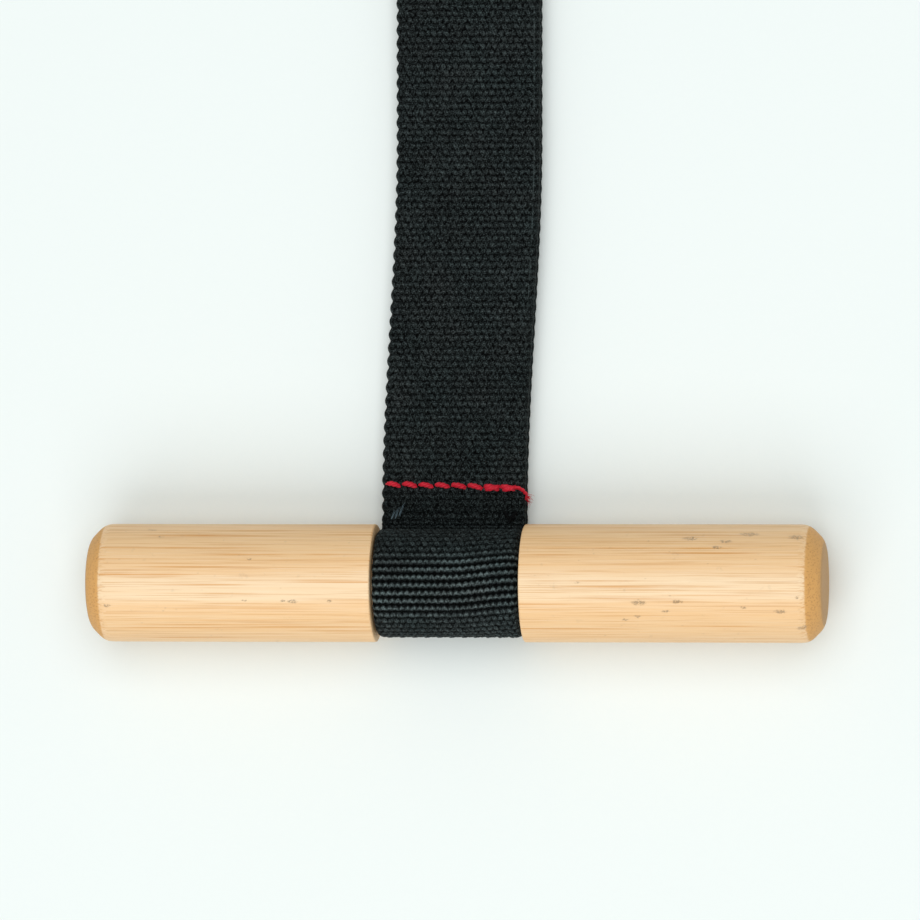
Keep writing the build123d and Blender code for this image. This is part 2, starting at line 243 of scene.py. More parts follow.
def bamboo():
    """Bamboo: lengthwise fibres, a lighter band along the bar, end grain and wear."""
    material, tree, shader = blank_material("bamboo")
    place = node(tree, "TexCoord").outputs["Object"]
    centred = node(tree, "VectorMath", {0: place, 1: (0, BAR_Y * MM, BAR_Z * MM)}, operation="SUBTRACT")
    place = scaled(tree, centred.outputs[0], 1 / MM, 1 / MM, 1 / MM)
    parts = node(tree, "SeparateXYZ", {0: place})
    x, y = parts.outputs[0], parts.outputs[1]

    # A lighter band along the bar, across it from about 3 mm on the side away from the strap to 1.5 mm on the
    # strap's side, with a slightly wavy boundary
    drift = noise(tree, scaled(tree, place, 0.02, 0.15, 0.15), 1.0)
    wavy = maths(tree, "ADD", y, maths(tree, "MULTIPLY_ADD", drift, 2.4, -1.2))
    rise = step_up(tree, wavy, -3.9, -2.2)
    fall = step_up(tree, wavy, 0.4, 2.6)
    lighter_band = maths(tree, "SUBTRACT", rise, fall)
    streak = noise(tree, scaled(tree, place, 0.018, 1.5, 1.5), 1.0, 3.0, 0.6)
    tone = maths(tree, "MULTIPLY_ADD", lighter_band, 0.62, 0.1)
    tone = maths(tree, "ADD", tone, maths(tree, "MULTIPLY_ADD", streak, 0.9, -0.42), clamp=True)
    colour = mix_colour(tree, tone, (0.865, 0.548, 0.275, 1), (0.925, 0.705, 0.462, 1))

    # Fibre bundles: thin dashes along the bar, dots in the end grain
    inputs = {"Vector": scaled(tree, place, 0.02, 1.75, 1.75), "Scale": 1.0, "Randomness": 1.0}
    bundle = node(tree, "TexVoronoi", inputs, voronoi_dimensions="3D").outputs["Distance"]
    bundle = maths(tree, "SUBTRACT", 1.0, step_up(tree, bundle, 0.14, 0.40))
    patch = noise(tree, scaled(tree, place, 0.05, 0.5, 0.5), 1.0, 2.0)
    bundle = maths(tree, "MULTIPLY", bundle, step_up(tree, patch, 0.3, 0.6))
    fine = noise(tree, scaled(tree, place, 0.045, 5.0, 5.0), 1.0, 3.0, 0.65)
    fine_dark = step_up(tree, fine, 0.5, 0.66)
    hair = noise(tree, scaled(tree, place, 0.09, 13.0, 13.0), 1.0, 2.0, 0.6)
    pale = step_up(tree, hair, 0.55, 0.75)
    strength = maths(tree, "MULTIPLY_ADD", step_up(tree, y, -1.0, 5.0), 0.22, 0.76)
    colour = mix_colour(tree, maths(tree, "MULTIPLY", bundle, strength), colour, (0.68, 0.30, 0.07, 1))
    colour = mix_colour(tree, maths(tree, "MULTIPLY", fine_dark, 0.62), colour, (0.66, 0.345, 0.13, 1))
    colour = mix_colour(tree, maths(tree, "MULTIPLY", pale, 0.4), colour, (0.95, 0.78, 0.62, 1))

    # End grain on the chamfers and ends, darker and more ochre
    reach = maths(tree, "ABSOLUTE", x)
    end = BAR_LENGTH / 2
    edge = maths(tree, "ADD", reach, maths(tree, "MULTIPLY_ADD", fine, 0.5, -0.25))
    end_grain = step_up(tree, edge, end - CHAMFER - 0.15, end - CHAMFER + 0.25)
    dots = {"Vector": scaled(tree, place, 0.3, 3.4, 3.4), "Scale": 1.0, "Randomness": 1.0}
    dot = node(tree, "TexVoronoi", dots, voronoi_dimensions="3D").outputs["Distance"]
    dot = maths(tree, "SUBTRACT", 1.0, step_up(tree, dot, 0.12, 0.5))
    ochre = mix_colour(tree, dot, (0.71, 0.37, 0.115, 1), (0.56, 0.27, 0.08, 1))
    face = step_up(tree, reach, end - 0.35, end - 0.1)
    grime = noise(tree, place, 0.55, 4.0, 0.6)
    ochre = mix_colour(tree, maths(tree, "MULTIPLY", face, 0.5), ochre, (0.36, 0.22, 0.11, 1))
    colour = mix_colour(tree, end_grain, colour, ochre)

    # Handling marks: small grey-brown dents on the side that faces up
    blur = node(tree, "TexNoise", {"Vector": place, "Scale": 1.7, "Detail": 3.0}).outputs["Color"]
    shaken = node(tree, "VectorMath", {0: blur, 1: (0.9, 0.7, 0.7), 2: place}, operation="MULTIPLY_ADD")
    nearest = None
    for along, across, size in MARKS:
        up = (BAR_RADIUS ** 2 - across ** 2) ** 0.5
        spot = (along + 0.45, across + 0.35, up + 0.35)
        away = node(tree, "VectorMath", {0: shaken.outputs[0], 1: spot}, operation="SUBTRACT").outputs[0]
        away = scaled(tree, away, 0.42 / size, 1.15 / size, 1.15 / size)
        away = node(tree, "VectorMath", {0: away}, operation="LENGTH").outputs["Value"]
        nearest = away if nearest is None else maths(tree, "MINIMUM", nearest, away)
    mark = maths(tree, "SUBTRACT", 1.0, step_up(tree, nearest, 0.45, 1.15))
    scuff = noise(tree, scaled(tree, place, 0.7, 1.0, 1.0), 4.2, 3.0, 0.7)
    mark = maths(tree, "MULTIPLY", mark, step_up(tree, scuff, 0.42, 0.62))
    pores = {"Vector": scaled(tree, place, 0.45, 0.9, 0.9), "Scale": 1.0, "Randomness": 1.0}
    pore = node(tree, "TexVoronoi", pores, voronoi_dimensions="3D").outputs["Distance"]
    pore = maths(tree, "SUBTRACT", 1.0, step_up(tree, pore, 0.04, 0.13))
    pore = maths(tree, "MULTIPLY", pore, step_up(tree, noise(tree, place, 0.3, 2.0), 0.5, 0.68))
    mark = maths(tree, "MAXIMUM", mark, maths(tree, "MULTIPLY", pore, 0.55))
    dirt = maths(tree, "MULTIPLY", step_up(tree, grime, 0.62, 0.8), 0.18)
    wear_and_glint = maths(tree, "MAXIMUM", maths(tree, "MULTIPLY", mark, 0.5), dirt)
    colour = mix_colour(tree, wear_and_glint, colour, (0.2, 0.16, 0.125, 1))
    tree.links.new(colour, shader.inputs["Base Color"])

    rough = maths(tree, "MULTIPLY_ADD", fine, 0.22, 0.36)
    rough = maths(tree, "MULTIPLY_ADD", end_grain, 0.16, rough)
    tree.links.new(rough, shader.inputs["Roughness"])
    shader.inputs["Specular IOR Level"].default_value = 0.42
    height = maths(tree, "MULTIPLY_ADD", fine, 0.7, maths(tree, "MULTIPLY", bundle, -0.5))
    height = maths(tree, "MULTIPLY_ADD", mark, -2.4, height)
    height = maths(tree, "MULTIPLY_ADD", maths(tree, "MULTIPLY", dot, end_grain), -1.2, height)
    bumped(tree, shader, height, 0.035 * MM)
    return material


def window(tree, value, start, end, soft):
    """1 between start and end, with soft ends."""
    rise = step_up(tree, value, start - soft, start + soft)
    fall = step_up(tree, value, end - soft, end + soft)
    return maths(tree, "SUBTRACT", rise, fall)


def woven(name="black_webbing"):
    """Black webbing: crowns of paired yarns in offset rows, open ribs round the bar, and loose fuzz, with
    painted highlights and glints on the crowns and ribs, painted shade in the valleys, and painted light on
    the cloth round the bar.
    """
    material, tree, shader = blank_material(name)
    flat = node(tree, "UVMap", uv_map="cloth").outputs[0]
    parts = node(tree, "SeparateXYZ", {0: scaled(tree, flat, 1 / RIB, 1 / CROWN, 0)})
    along, across = parts.outputs[0], parts.outputs[1]
    row = maths(tree, "FLOOR", along)
    odd = maths(tree, "MULTIPLY", maths(tree, "MODULO", maths(tree, "ABSOLUTE", row), 2.0), 0.5)
    across = maths(tree, "ADD", across, odd)
    column = maths(tree, "FLOOR", across)
    in_row = maths(tree, "SUBTRACT", maths(tree, "FRACT", along), 0.5)
    in_crown = maths(tree, "SUBTRACT", maths(tree, "FRACT", across), 0.5)
    turn = maths(tree, "MODULO", maths(tree, "ABSOLUTE", column), 2.0)
    slant = maths(tree, "MULTIPLY", maths(tree, "SUBTRACT", 0.5, turn), SLANT)
    leaning = maths(tree, "MULTIPLY_ADD", in_row, slant, in_crown)
    filament = maths(tree, "SINE", maths(tree, "MULTIPLY", leaning, 6.283 * 4.0))
    crown_top = maths(tree, "MAXIMUM", maths(tree, "COSINE", maths(tree, "MULTIPLY", leaning, 3.1416)), 0.0)
    rib_top = maths(tree, "MAXIMUM", maths(tree, "COSINE", maths(tree, "MULTIPLY", in_row, 3.1416)), 0.0)
    pair = maths(tree, "ABSOLUTE", maths(tree, "SINE", maths(tree, "MULTIPLY", leaning, 6.283)))
    yarns = maths(tree, "MULTIPLY_ADD", pair, 0.38, maths(tree, "MULTIPLY", crown_top, 0.62))
    top = maths(tree, "MULTIPLY", yarns, maths(tree, "POWER", rib_top, 0.75))
    length = node(tree, "SeparateXYZ", {0: flat}).outputs[0]
    open_ribs = window(tree, length, OPEN_START, OPEN_END, 1.6)
    pressed_and_shaded = window(tree, length, UPPER_START - 1, RED_LENGTH - 0.9, 0.6)
    every_other = maths(tree, "MULTIPLY_ADD", turn, -0.3, 0.85)
    # Painted highlight: crown tops are painted lighter and the dips between crowns and ribs darker as painted
    # shade, with every second column dimmer
    crown_highlight = maths(tree, "MULTIPLY", maths(tree, "POWER", top, 1.5), every_other)
    # Painted highlight: on the open ribs round the bar, a bright dash along each rib stands in for the key
    # light's glint on the yarns
    waver = maths(tree, "MULTIPLY_ADD", maths(tree, "ABSOLUTE", in_crown), 2 * ZIGZAG, -0.5 * ZIGZAG)
    rib_glint = maths(tree, "COSINE", maths(tree, "MULTIPLY", maths(tree, "ADD", in_row, waver), 3.1416))
    rib_glint = maths(tree, "POWER", maths(tree, "MAXIMUM", rib_glint, 0.0), 4.5)
    dash = maths(tree, "MULTIPLY_ADD", crown_top, 0.65, 0.35)
    rib_glint = maths(tree, "MULTIPLY", maths(tree, "MULTIPLY", rib_glint, dash), 2.2)
    less = maths(tree, "SUBTRACT", 1.0, open_ribs)
    crown_highlight = maths(tree, "MULTIPLY_ADD", crown_highlight, less, maths(tree, "MULTIPLY", rib_glint, open_ribs))
    # Between the bar and the red row the crowns are painted darker: partly the pressed, flatter cloth and
    # partly painted shade
    crown_highlight = maths(tree, "MULTIPLY", crown_highlight, maths(tree, "MULTIPLY_ADD", pressed_and_shaded, -0.4, 1.0))
    crown_highlight = maths(tree, "MULTIPLY", crown_highlight, maths(tree, "MULTIPLY_ADD", filament, 0.25, 0.85))

    place = scaled(tree, node(tree, "TexCoord").outputs["Object"], 1 / MM, 1 / MM, 1 / MM)
    fuzz = noise(tree, place, 3.4, 2.0, 0.7)
    patch = noise(tree, place, 0.1, 2.0)
    each = node(tree, "CombineXYZ", {0: row, 1: column})
    single = node(tree, "TexWhiteNoise", {"Vector": each.outputs[0]}, noise_dimensions="2D").outputs["Value"]
    level = maths(tree, "MULTIPLY", crown_highlight, maths(tree, "MULTIPLY_ADD", single, 0.4, 0.6))
    # Painted glints: patches of fuzz make the crowns' painted highlight brighter in speckles
    wear_and_glint = maths(tree, "MULTIPLY_ADD", step_up(tree, fuzz, 0.3, 0.7), 1.5, 0.2)
    level = maths(tree, "MULTIPLY", level, wear_and_glint)
    level = maths(tree, "MULTIPLY", level, maths(tree, "MULTIPLY_ADD", patch, 1.2, 0.3))
    # Painted light: the cloth round the bar is painted half again as light, and its lower part facing the
    # near side lighter still, where the key light falls
    on_bar = window(tree, length, WRAP_START, WRAP_END, 2.0)
    under = window(tree, length, WRAP_START, OPEN_START, 1.0)
    lighter = maths(tree, "MULTIPLY_ADD", under, 0.8, maths(tree, "MULTIPLY_ADD", on_bar, 0.5, 1.0))
    level = maths(tree, "MULTIPLY", level, lighter)
    # Painted glints: fine bright speckles on the raised crowns in a fine lattice, fewer on the open ribs
    # round the bar
    bits = step_up(tree, noise(tree, place, 5.0, 2.0, 0.65), 0.5, 0.63)
    columns = maths(tree, "COSINE", maths(tree, "MULTIPLY", across, 12.566))
    rows = maths(tree, "COSINE", maths(tree, "MULTIPLY", along, 12.566))
    lattice = maths(tree, "MULTIPLY_ADD", maths(tree, "ADD", columns, rows), 0.25, 0.5)
    lattice = maths(tree, "MULTIPLY", maths(tree, "SUBTRACT", lattice, 0.5), less)
    lattice = maths(tree, "MULTIPLY_ADD", lattice, 1.3, 1.0)
    raised = maths(tree, "MULTIPLY", maths(tree, "POWER", top, 0.3), lattice)
    shade = maths(tree, "MULTIPLY", bits, maths(tree, "MULTIPLY_ADD", raised, 0.29, 0.04))
    shade = maths(tree, "MULTIPLY", shade, maths(tree, "MULTIPLY_ADD", open_ribs, -0.75, 1.0))
    width = node(tree, "SeparateXYZ", {0: flat}).outputs[1]
    catch_cord = window(tree, width, CATCH_CORD, CATCH_CORD + 0.2, 0.1)
    far_run = step_up(tree, length, RED_LENGTH + 15, RED_LENGTH + 35)
    broken = maths(tree, "MULTIPLY", step_up(tree, noise(tree, place, 0.5, 2.0), 0.4, 0.6), far_run)
    shade = maths(tree, "MULTIPLY_ADD", maths(tree, "MULTIPLY", catch_cord, broken), 0.2, shade)
    level = maths(tree, "MULTIPLY_ADD", level, 0.36, shade, clamp=True)
    cast = noise(tree, place, 0.16, 3.0)
    light = mix_colour(tree, cast, (0.135, 0.15, 0.15, 1), (0.11, 0.162, 0.165, 1))
    # Base colour runs from near black in the valleys to grey-green on the crowns: painted shade and painted
    # highlight
    colour = mix_colour(tree, level, (0.0003, 0.0004, 0.0004, 1), light)
    lint = noise(tree, place, 1.1, 6.0, 0.8)
    colour = mix_colour(tree, step_up(tree, lint, 0.74, 0.8), colour, (0.06, 0.065, 0.068, 1))
    tree.links.new(colour, shader.inputs["Base Color"])
    tree.links.new(maths(tree, "MULTIPLY_ADD", fuzz, 0.25, 0.36), shader.inputs["Roughness"])
    shader.inputs["Specular IOR Level"].default_value = 0.02
    shader.inputs["Sheen Weight"].default_value = 0.015
    shader.inputs["Sheen Roughness"].default_value = 0.35
    shader.inputs["Sheen Tint"].default_value = (0.86, 0.97, 0.92, 1)
    height = maths(tree, "MULTIPLY_ADD", filament, 0.2, maths(tree, "MULTIPLY", top, 1.6))
    height = maths(tree, "MULTIPLY_ADD", fuzz, 0.5, height)
    bumped(tree, shader, height, 0.1 * MM)
    return material


def yarn(name, dark, light, sheen, rough=0.5, shine=0.3):
    """Sewing thread: filaments along the strand and lighter patches at random."""
    material, tree, shader = blank_material(name)
    place = scaled(tree, node(tree, "TexCoord").outputs["Object"], 1 / MM, 1 / MM, 1 / MM)
    fibre = noise(tree, scaled(tree, place, 3.0, 11.0, 11.0), 1.0, 3.0, 0.6)
    patch = noise(tree, place, 0.45, 2.0)
    level = maths(tree, "MULTIPLY_ADD", patch, 0.9, maths(tree, "MULTIPLY_ADD", fibre, 0.8, -0.4), clamp=True)
    tree.links.new(mix_colour(tree, level, dark, light), shader.inputs["Base Color"])
    tree.links.new(maths(tree, "MULTIPLY_ADD", fibre, 0.25, rough - 0.12), shader.inputs["Roughness"])
    shader.inputs["Specular IOR Level"].default_value = shine
    shader.inputs["Sheen Weight"].default_value = sheen
    shader.inputs["Sheen Roughness"].default_value = 0.35
    bumped(tree, shader, fibre, 0.05 * MM)
    return material


def paper():
    """The plain pale surface under the object."""
    material, tree, shader = blank_material("pale_floor")
    place = node(tree, "TexCoord").outputs["Object"]
    grain = noise(tree, place, 900.0, 4.0, 0.6)
    cloud = noise(tree, place, 9.0, 2.0)
    level = maths(tree, "MULTIPLY_ADD", grain, 0.3, maths(tree, "MULTIPLY", cloud, 0.7))
    colour = mix_colour(tree, level, (0.83, 0.872, 0.858, 1), (0.86, 0.9, 0.888, 1))
    tree.links.new(colour, shader.inputs["Base Color"])
    shader.inputs["Roughness"].default_value = 0.75
    bumped(tree, shader, grain, 0.02 * MM)
    return material


# ------------------------------------------------------------------------------ path of the cloth

def straight(length):
    """A straight step of the webbing's middle line."""
    return (None, length)


def shift(to_left, run):
    """Two equal tangent arcs that shift the middle line to its left, or right if negative."""
    half = np.arctan(abs(to_left) / run)
    turn = np.degrees(2 * half) * (1 if to_left > 0 else -1)
    radius = run / (2 * np.sin(2 * half))
    return [(radius, turn), (radius, -turn)]


class Path:
    """The middle line of the band, seen from its left edge: station and height against length."""

    def __init__(self, start, heading, steps):
        self.pieces = []
        place, angle, length = np.array(start, float), np.radians(heading), 0.0
        for radius, amount in steps:
            if radius is None:
                curve, span = 0.0, amount
            else:
                curve, span = np.sign(amount) / radius, abs(np.radians(amount)) * radius
            self.pieces.append((length, span, place, angle, curve))
            place, angle = self.move(place, angle, curve, span)
            length += span
        self.length = length

    @staticmethod
    def move(place, angle, curve, span):
        """Place and angle after going a span along a piece of constant curve."""
        if curve == 0:
            return place + span * np.array([np.cos(angle), np.sin(angle)]), angle
        turned = angle + curve * span
        chord = np.array([np.sin(turned) - np.sin(angle), np.cos(angle) - np.cos(turned)]) / curve
        return place + chord, turned

    def at(self, length):
        """Place, angle and curve at a length."""
        for start, span, place, angle, curve in self.pieces:
            if length <= start + span:
                break
        return *self.move(place, angle, curve, length - start), curve


def band_path():
    """The whole webbing from the lower end, round the bar and the eye, to the tucked end."""
    lower, upper = np.radians(LOWER_LEAVE), np.radians(UPPER_LEAVE)
    lower_drop = BAR_RADIUS - MIDDLE * np.cos(lower) - LOWER_BEND * (1 - np.cos(lower)) - WEB / 2
    lower_run = lower_drop / np.sin(lower)
    lower_flat = -MIDDLE * np.sin(lower) + lower_run * np.cos(lower) + LOWER_BEND * np.sin(lower)
    upper_drop = BAR_RADIUS - MIDDLE * np.sin(upper) - UPPER_BEND * (1 + np.sin(upper)) - 1.5 * WEB
    upper_run = upper_drop / np.cos(upper)
    upper_flat = MIDDLE * np.cos(upper) - upper_run * np.sin(upper) + UPPER_BEND * np.cos(upper)
    steps = [
        straight(THROAT - lower_flat),
        (LOWER_BEND, -LOWER_LEAVE),
        straight(lower_run),
        (MIDDLE, LOWER_LEAVE - UPPER_LEAVE - 270),
        straight(upper_run),
        (UPPER_BEND, 90 + UPPER_LEAVE),
        straight(RAMP_START - upper_flat),
        *shift(WEB, RAMP_LENGTH),
        straight(SPLICE_LENGTH),
        *shift(WEB / 2 + 2 * TIP_RADIUS - 2.5 * WEB, HUMP_LENGTH),
        (TIP_RADIUS, -180),
        straight(HUMP_LENGTH - RETURN_RAMP),
        *shift(-WEB, RETURN_RAMP),
        straight(SPLICE_LENGTH),
    ]
    return Path((THROAT, WEB / 2), 180, steps)


BAND = band_path()
LOWER_SEAM = THROAT - SEAM
WRAP_START = BAND.pieces[3][0]
WRAP_END = BAND.pieces[4][0]
UPPER_START = BAND.pieces[6][0]  # where the upper layer starts to lie flat
UPPER_FLAT = BAND.pieces[6][2][0]  # its station
UPPER_SEAM = UPPER_START + SEAM - UPPER_FLAT


def upper_length(station):
    """Length along the band at a station of the flat upper layer."""
    return UPPER_START + station - UPPER_FLAT


def wrap_length(angle):
    """Length along the band at an angle round the bar, in degrees from the top towards the far side."""
    return WRAP_START + np.radians(270 - LOWER_LEAVE - 90 - angle) * MIDDLE


RED_LENGTH = upper_length(RED_ROW)
OPEN_START, OPEN_END = wrap_length(36), wrap_length(-27)  # where the ribs round the bar lie open


def centre_x(station):
    """How far the middle of the strap lies towards +X at a station."""
    return GROOVE_X + SIDESTEP * smooth(station, 5, 11) + LEAN * smooth(station, LEAN_START, LEAN_END)


# ------------------------------------------------------------------------------ webbing meshes

TOP_COUNT = 92
EDGE_COUNT = 5
BACK_COUNT = 24
SELVEDGE_ROUND = 0.95


def cross_section():
    """Places round the band as (across, out, face).

    Across is in mm over the flat of the faces. Out goes from 0 to 1 round the right edge and to -1
    round the left. Face is +1 on the outer face, -1 on the inner one and between them at the edges.
    """
    half = WEB_WIDTH / 2
    flat = half - SELVEDGE_ROUND
    outer = [(v, 0.0, 1.0) for v in np.linspace(-flat, flat, TOP_COUNT)]
    turn = np.linspace(0, np.pi, EDGE_COUNT + 2)[1:-1]
    right = [(flat, np.sin(a), np.cos(a)) for a in turn]
    inner = [(v, 0.0, -1.0) for v in np.linspace(flat, -flat, BACK_COUNT)]
    left = [(-flat, -np.sin(a), -np.cos(a)) for a in turn]
    return np.array(outer + right + inner + left)


def rib_length(length):
    """Length counted in unstretched cloth: the ribs lie a little further apart where they are open."""
    return length - OPEN_STRETCH * (np.clip(length, OPEN_START, OPEN_END) - OPEN_START)


def opened(length):
    """How far the ribs are spread open: most on the part of the wrap that faces up."""
    closing = smooth(length, OPEN_END - 2, OPEN_END + 2)
    return smooth(length, OPEN_START - 1.5, OPEN_START + 1.5) * (1 - closing)


def pressed(length):
    """How far the cloth is pressed smooth: between the red row and the bar."""
    past_row = smooth(length, RED_LENGTH - 1.4, RED_LENGTH - 0.4)
    return smooth(length, UPPER_START - 2, UPPER_START + 1) * (1 - past_row)


def weave(length, across):
    """Height of the crowns, 0 in the valleys and 1 on the highest, at a length and place across."""
    rib = length / RIB
    row = np.floor(rib)
    in_row = rib - row - 0.5
    crown = across / CROWN + 0.5 * np.mod(row, 2)
    column = np.floor(crown)
    in_crown = crown - column - 0.5
    spread = opened(length)
    slant = in_row * (0.5 - np.mod(column, 2)) * SLANT * (1 - spread)
    bent_row = in_row + ZIGZAG * spread * (2 * abs(in_crown) - 0.5)
    along = np.clip(np.cos(np.pi * bent_row), 0, 1) ** (0.9 + 1.6 * spread)
    over = np.clip(np.cos(np.pi * (in_crown + slant)), 0, 1)
    strong = 1 - 0.26 * np.mod(column, 2) * (1 - spread)
    ground = 0.26 + 0.5 * spread
    return along * (ground + (1 - ground) * over) * strong


def dips(length):
    """How far the upper layer is drawn down along the two sewn rows behind the bar."""
    black = upper_length(CLOSING_ROW)
    drawn = 0.34 * np.exp(-((length - RED_LENGTH) / 0.75) ** 2)
    return drawn + 0.26 * np.exp(-((length - black) / 1.0) ** 2)


def wrap_skew(length, across):
    """Ribs round the bar run square on the left half and drift on the right half."""
    left_wrap = smooth(length, WRAP_END - 4, WRAP_END + 5)
    on_wrap = smooth(length, WRAP_START - 8, WRAP_START + 6) * (1 - left_wrap)
    return -0.78 * on_wrap * smooth(across, 0.5, 12.0)


def band_rings(lengths):
    """Points and cloth coordinates of the band at these lengths."""
    section = cross_section()
    points, cloth = [], []
    half = WEB_WIDTH / 2
    for length in lengths:
        (station, height), angle, curve = BAND.at(length)
        loop = abs(np.sin(np.pi * rib_length(length) / SELVEDGE_LOOP))
        bent = abs(curve) > 0.1
        right_side = 0.65 * (section[:, 0] > 0)
        depth = SELVEDGE_DEPTH * (1 - 0.7 * bent) * (1 - right_side)
        full = WRAP_FULLNESS if bent else FULLNESS
        across = section[:, 0] * (1 + (full - depth * 0.4 * (1 - loop)) / half)
        edge = section[:, 1] * (SELVEDGE_ROUND - depth * (1 - loop))
        along = rib_length(length) + wrap_skew(length, section[:, 0])
        crowns = weave(along, section[:, 0])
        deep = RIB_DEPTH * (1 + WRAP_DEEPER * bent) * (1 - 0.45 * pressed(length))
        outer = WEB / 2 - deep * (1 - crowns) - dips(length)
        slack = 0.03 * np.sin(length * 0.9 + section[:, 0] * 0.35)
        inner = -WEB / 2 + 0.12 + slack * 0.5
        thick = np.where(section[:, 2] > 0, outer, -inner) * np.abs(section[:, 2]) * np.sign(section[:, 2])
        middle = centre_x(station)
        x = middle + across + edge
        normal = np.array([-np.sin(angle), np.cos(angle)])
        y = BAR_Y + station + normal[0] * thick
        z = height + normal[1] * thick
        points.append(np.stack([x, y, z], 1))
        cloth.append(np.stack([along * np.ones(len(x)), across + edge], 1))
    return np.array(points), np.array(cloth)


def ring_places(start, end):
    """Lengths at which the band has a ring: close together where its outer face is seen."""
    steps = []
    length = start
    while length < end:
        steps.append(length)
        seen = length > WRAP_START - 9
        length += RIB / 4 if seen else RIB / 3
    if end - steps[-1] < RIB / 8:
        steps.pop()
    return steps + [end]


def band_piece(name, spans, material):
    """One webbing piece from one or more spans of the band."""
    points, faces, cloth, first = [], [], [], 0
    for start, end in spans:
        rings, flat = band_rings(ring_places(start, end))
        count, around = rings.shape[:2]
        points.append(rings.reshape(-1, 3))
        cloth.append(flat.reshape(-1, 2))
        faces += [tuple(f) for f in ring_faces(count, around, first)]
        faces.append(tuple(first + i for i in range(around))[::-1])
        last = first + (count - 1) * around
        faces.append(tuple(last + i for i in range(around)))
        first += count * around
    piece = mesh_piece(name, np.concatenate(points), faces, material)
    layer = piece.data.uv_layers.new(name="cloth")
    corner = np.zeros(len(piece.data.loops), np.int32)
    piece.data.loops.foreach_get("vertex_index", corner)
    layer.data.foreach_set("uv", np.concatenate(cloth)[corner].ravel())
    return piece


# ------------------------------------------------------------------------------------- the bar

def bar_piece(material):
    """The turned bar: a groove with eased lips, rounded chamfers, and a slightly uneven surface."""
    end = BAR_LENGTH / 2
    left, right = GROOVE_X - GROOVE_WIDTH / 2, GROOVE_X + GROOVE_WIDTH / 2
    eighth = np.radians(np.linspace(0, 45, 6))
    ease = EDGE_ROUND * np.tan(np.radians(22.5))
    inner = BAR_RADIUS - CHAMFER - ease
    profile = [(-end, 0.0), (-end, 2.5), (-end, 5.0)]
    corner = [(-end + EDGE_ROUND * (1 - np.cos(a)), inner + EDGE_ROUND * np.sin(a)) for a in eighth]
    slope = [(-end + CHAMFER * t, BAR_RADIUS - CHAMFER + CHAMFER * t) for t in (0.44, 0.5, 0.56)]
    start = -end + CHAMFER + ease
    for a in eighth[::-1]:
        slope.append((start - EDGE_ROUND * np.sin(a), BAR_RADIUS - EDGE_ROUND * (1 - np.cos(a))))
    start += 0.4
    body = [(x, BAR_RADIUS) for x in np.linspace(start, left - LIP_ROUND - 0.2, 30)]
    turns = np.radians([0, 22, 45, 68, 90])
    lip_x, lip_r = left - LIP_ROUND, BAR_RADIUS - LIP_ROUND
    eased = [(lip_x + LIP_ROUND * np.sin(a), lip_r + LIP_ROUND * np.cos(a)) for a in turns]
    wall = [(left, r) for r in (9.0, 8.0, 7.2, CORE_RADIUS)]
    core = [(x, CORE_RADIUS) for x in np.linspace(left + 0.3, right - 0.3, 10)]
    wall_back = [(right, r) for _, r in wall[::-1]]
    eased_back = [(right + left - x, r) for x, r in eased[::-1]]
    body_back = [(x, BAR_RADIUS) for x in np.linspace(right + LIP_ROUND + 0.2, -start, 30)]
    mirrored = [(-x, r) for x, r in (profile + corner + slope)[::-1]]
    line = profile + corner + slope + body + eased + wall + core + wall_back + eased_back
    line += body_back + mirrored
    around = BAR_COUNT
    angle = np.arange(around) * 2 * np.pi / around
    points = []
    for x, radius in line[1:-1]:
        uneven = 0.025 * np.sin(3 * angle + 1.1) + 0.02 * np.sin(7 * angle + x * 0.05)
        r = radius + (uneven - 0.045) * (radius > BAR_RADIUS - 0.1)
        points.append(np.stack([np.full(around, x), BAR_Y + r * np.cos(angle), BAR_Z + r * np.sin(angle)], 1))
    count = len(points)
    points = np.concatenate(points + [np.array([[-end, BAR_Y, BAR_Z], [end, BAR_Y, BAR_Z]])])
    faces = [tuple(f)[::-1] for f in ring_faces(count, around)]
    first_tip, last_tip = count * around, count * around + 1
    last = (count - 1) * around
    for i in range(around):
        faces.append((first_tip, i, (i + 1) % around))
        faces.append((last_tip, last + (i + 1) % around, last + i))
    return mesh_piece("bamboo_bar", points, faces, material)


# ------------------------------------------------------------------------------------- threads

PLIES = 3
STITCH_STEPS = 26
YARN_SIDES = 7
FILAMENT_STEPS = 12


def row_holes(middle, pitch):
    """Needle holes of a row straight across the strap."""
    count = int((WEB_WIDTH - 2) / pitch)
    return [middle + (i - count / 2) * pitch for i in range(count + 1)]


def stitch(start, end, sink, rise, size=0.49, twist=2.3, bow=0.0, shake=0.0):
    """One stitch of twisted yarn between two holes: up out of one, over, and down the other."""
    start, end = np.array(start, float), np.array(end, float)
    t = np.linspace(0, 1, STITCH_STEPS)
    span = np.linalg.norm(end - start)
    centre = start + np.outer(0.02 + 0.96 * t, end - start)
    up = np.clip(np.sin(np.pi * t), 0, 1) ** 0.42
    centre[:, 2] += -sink + (sink + rise) * up
    sideways = np.cross((end - start) / span, [0, 0, 1])
    centre += np.outer(bow * np.sin(np.pi * t), sideways)
    phase = rng.uniform(0, 6.28)
    fat = size * (0.55 + 0.45 * up) * (1 + shake * rng.uniform(-1, 1))
    parts = []
    for ply in range(PLIES):
        angle = phase + ply * 2 * np.pi / PLIES + 2 * np.pi * t * span / twist
        off = np.outer(np.cos(angle) * fat * 0.46, sideways)
        off[:, 2] += np.sin(angle) * fat * 0.46
        parts.append(sweep(centre + off, fat * 0.56, YARN_SIDES))
    return gather(parts)


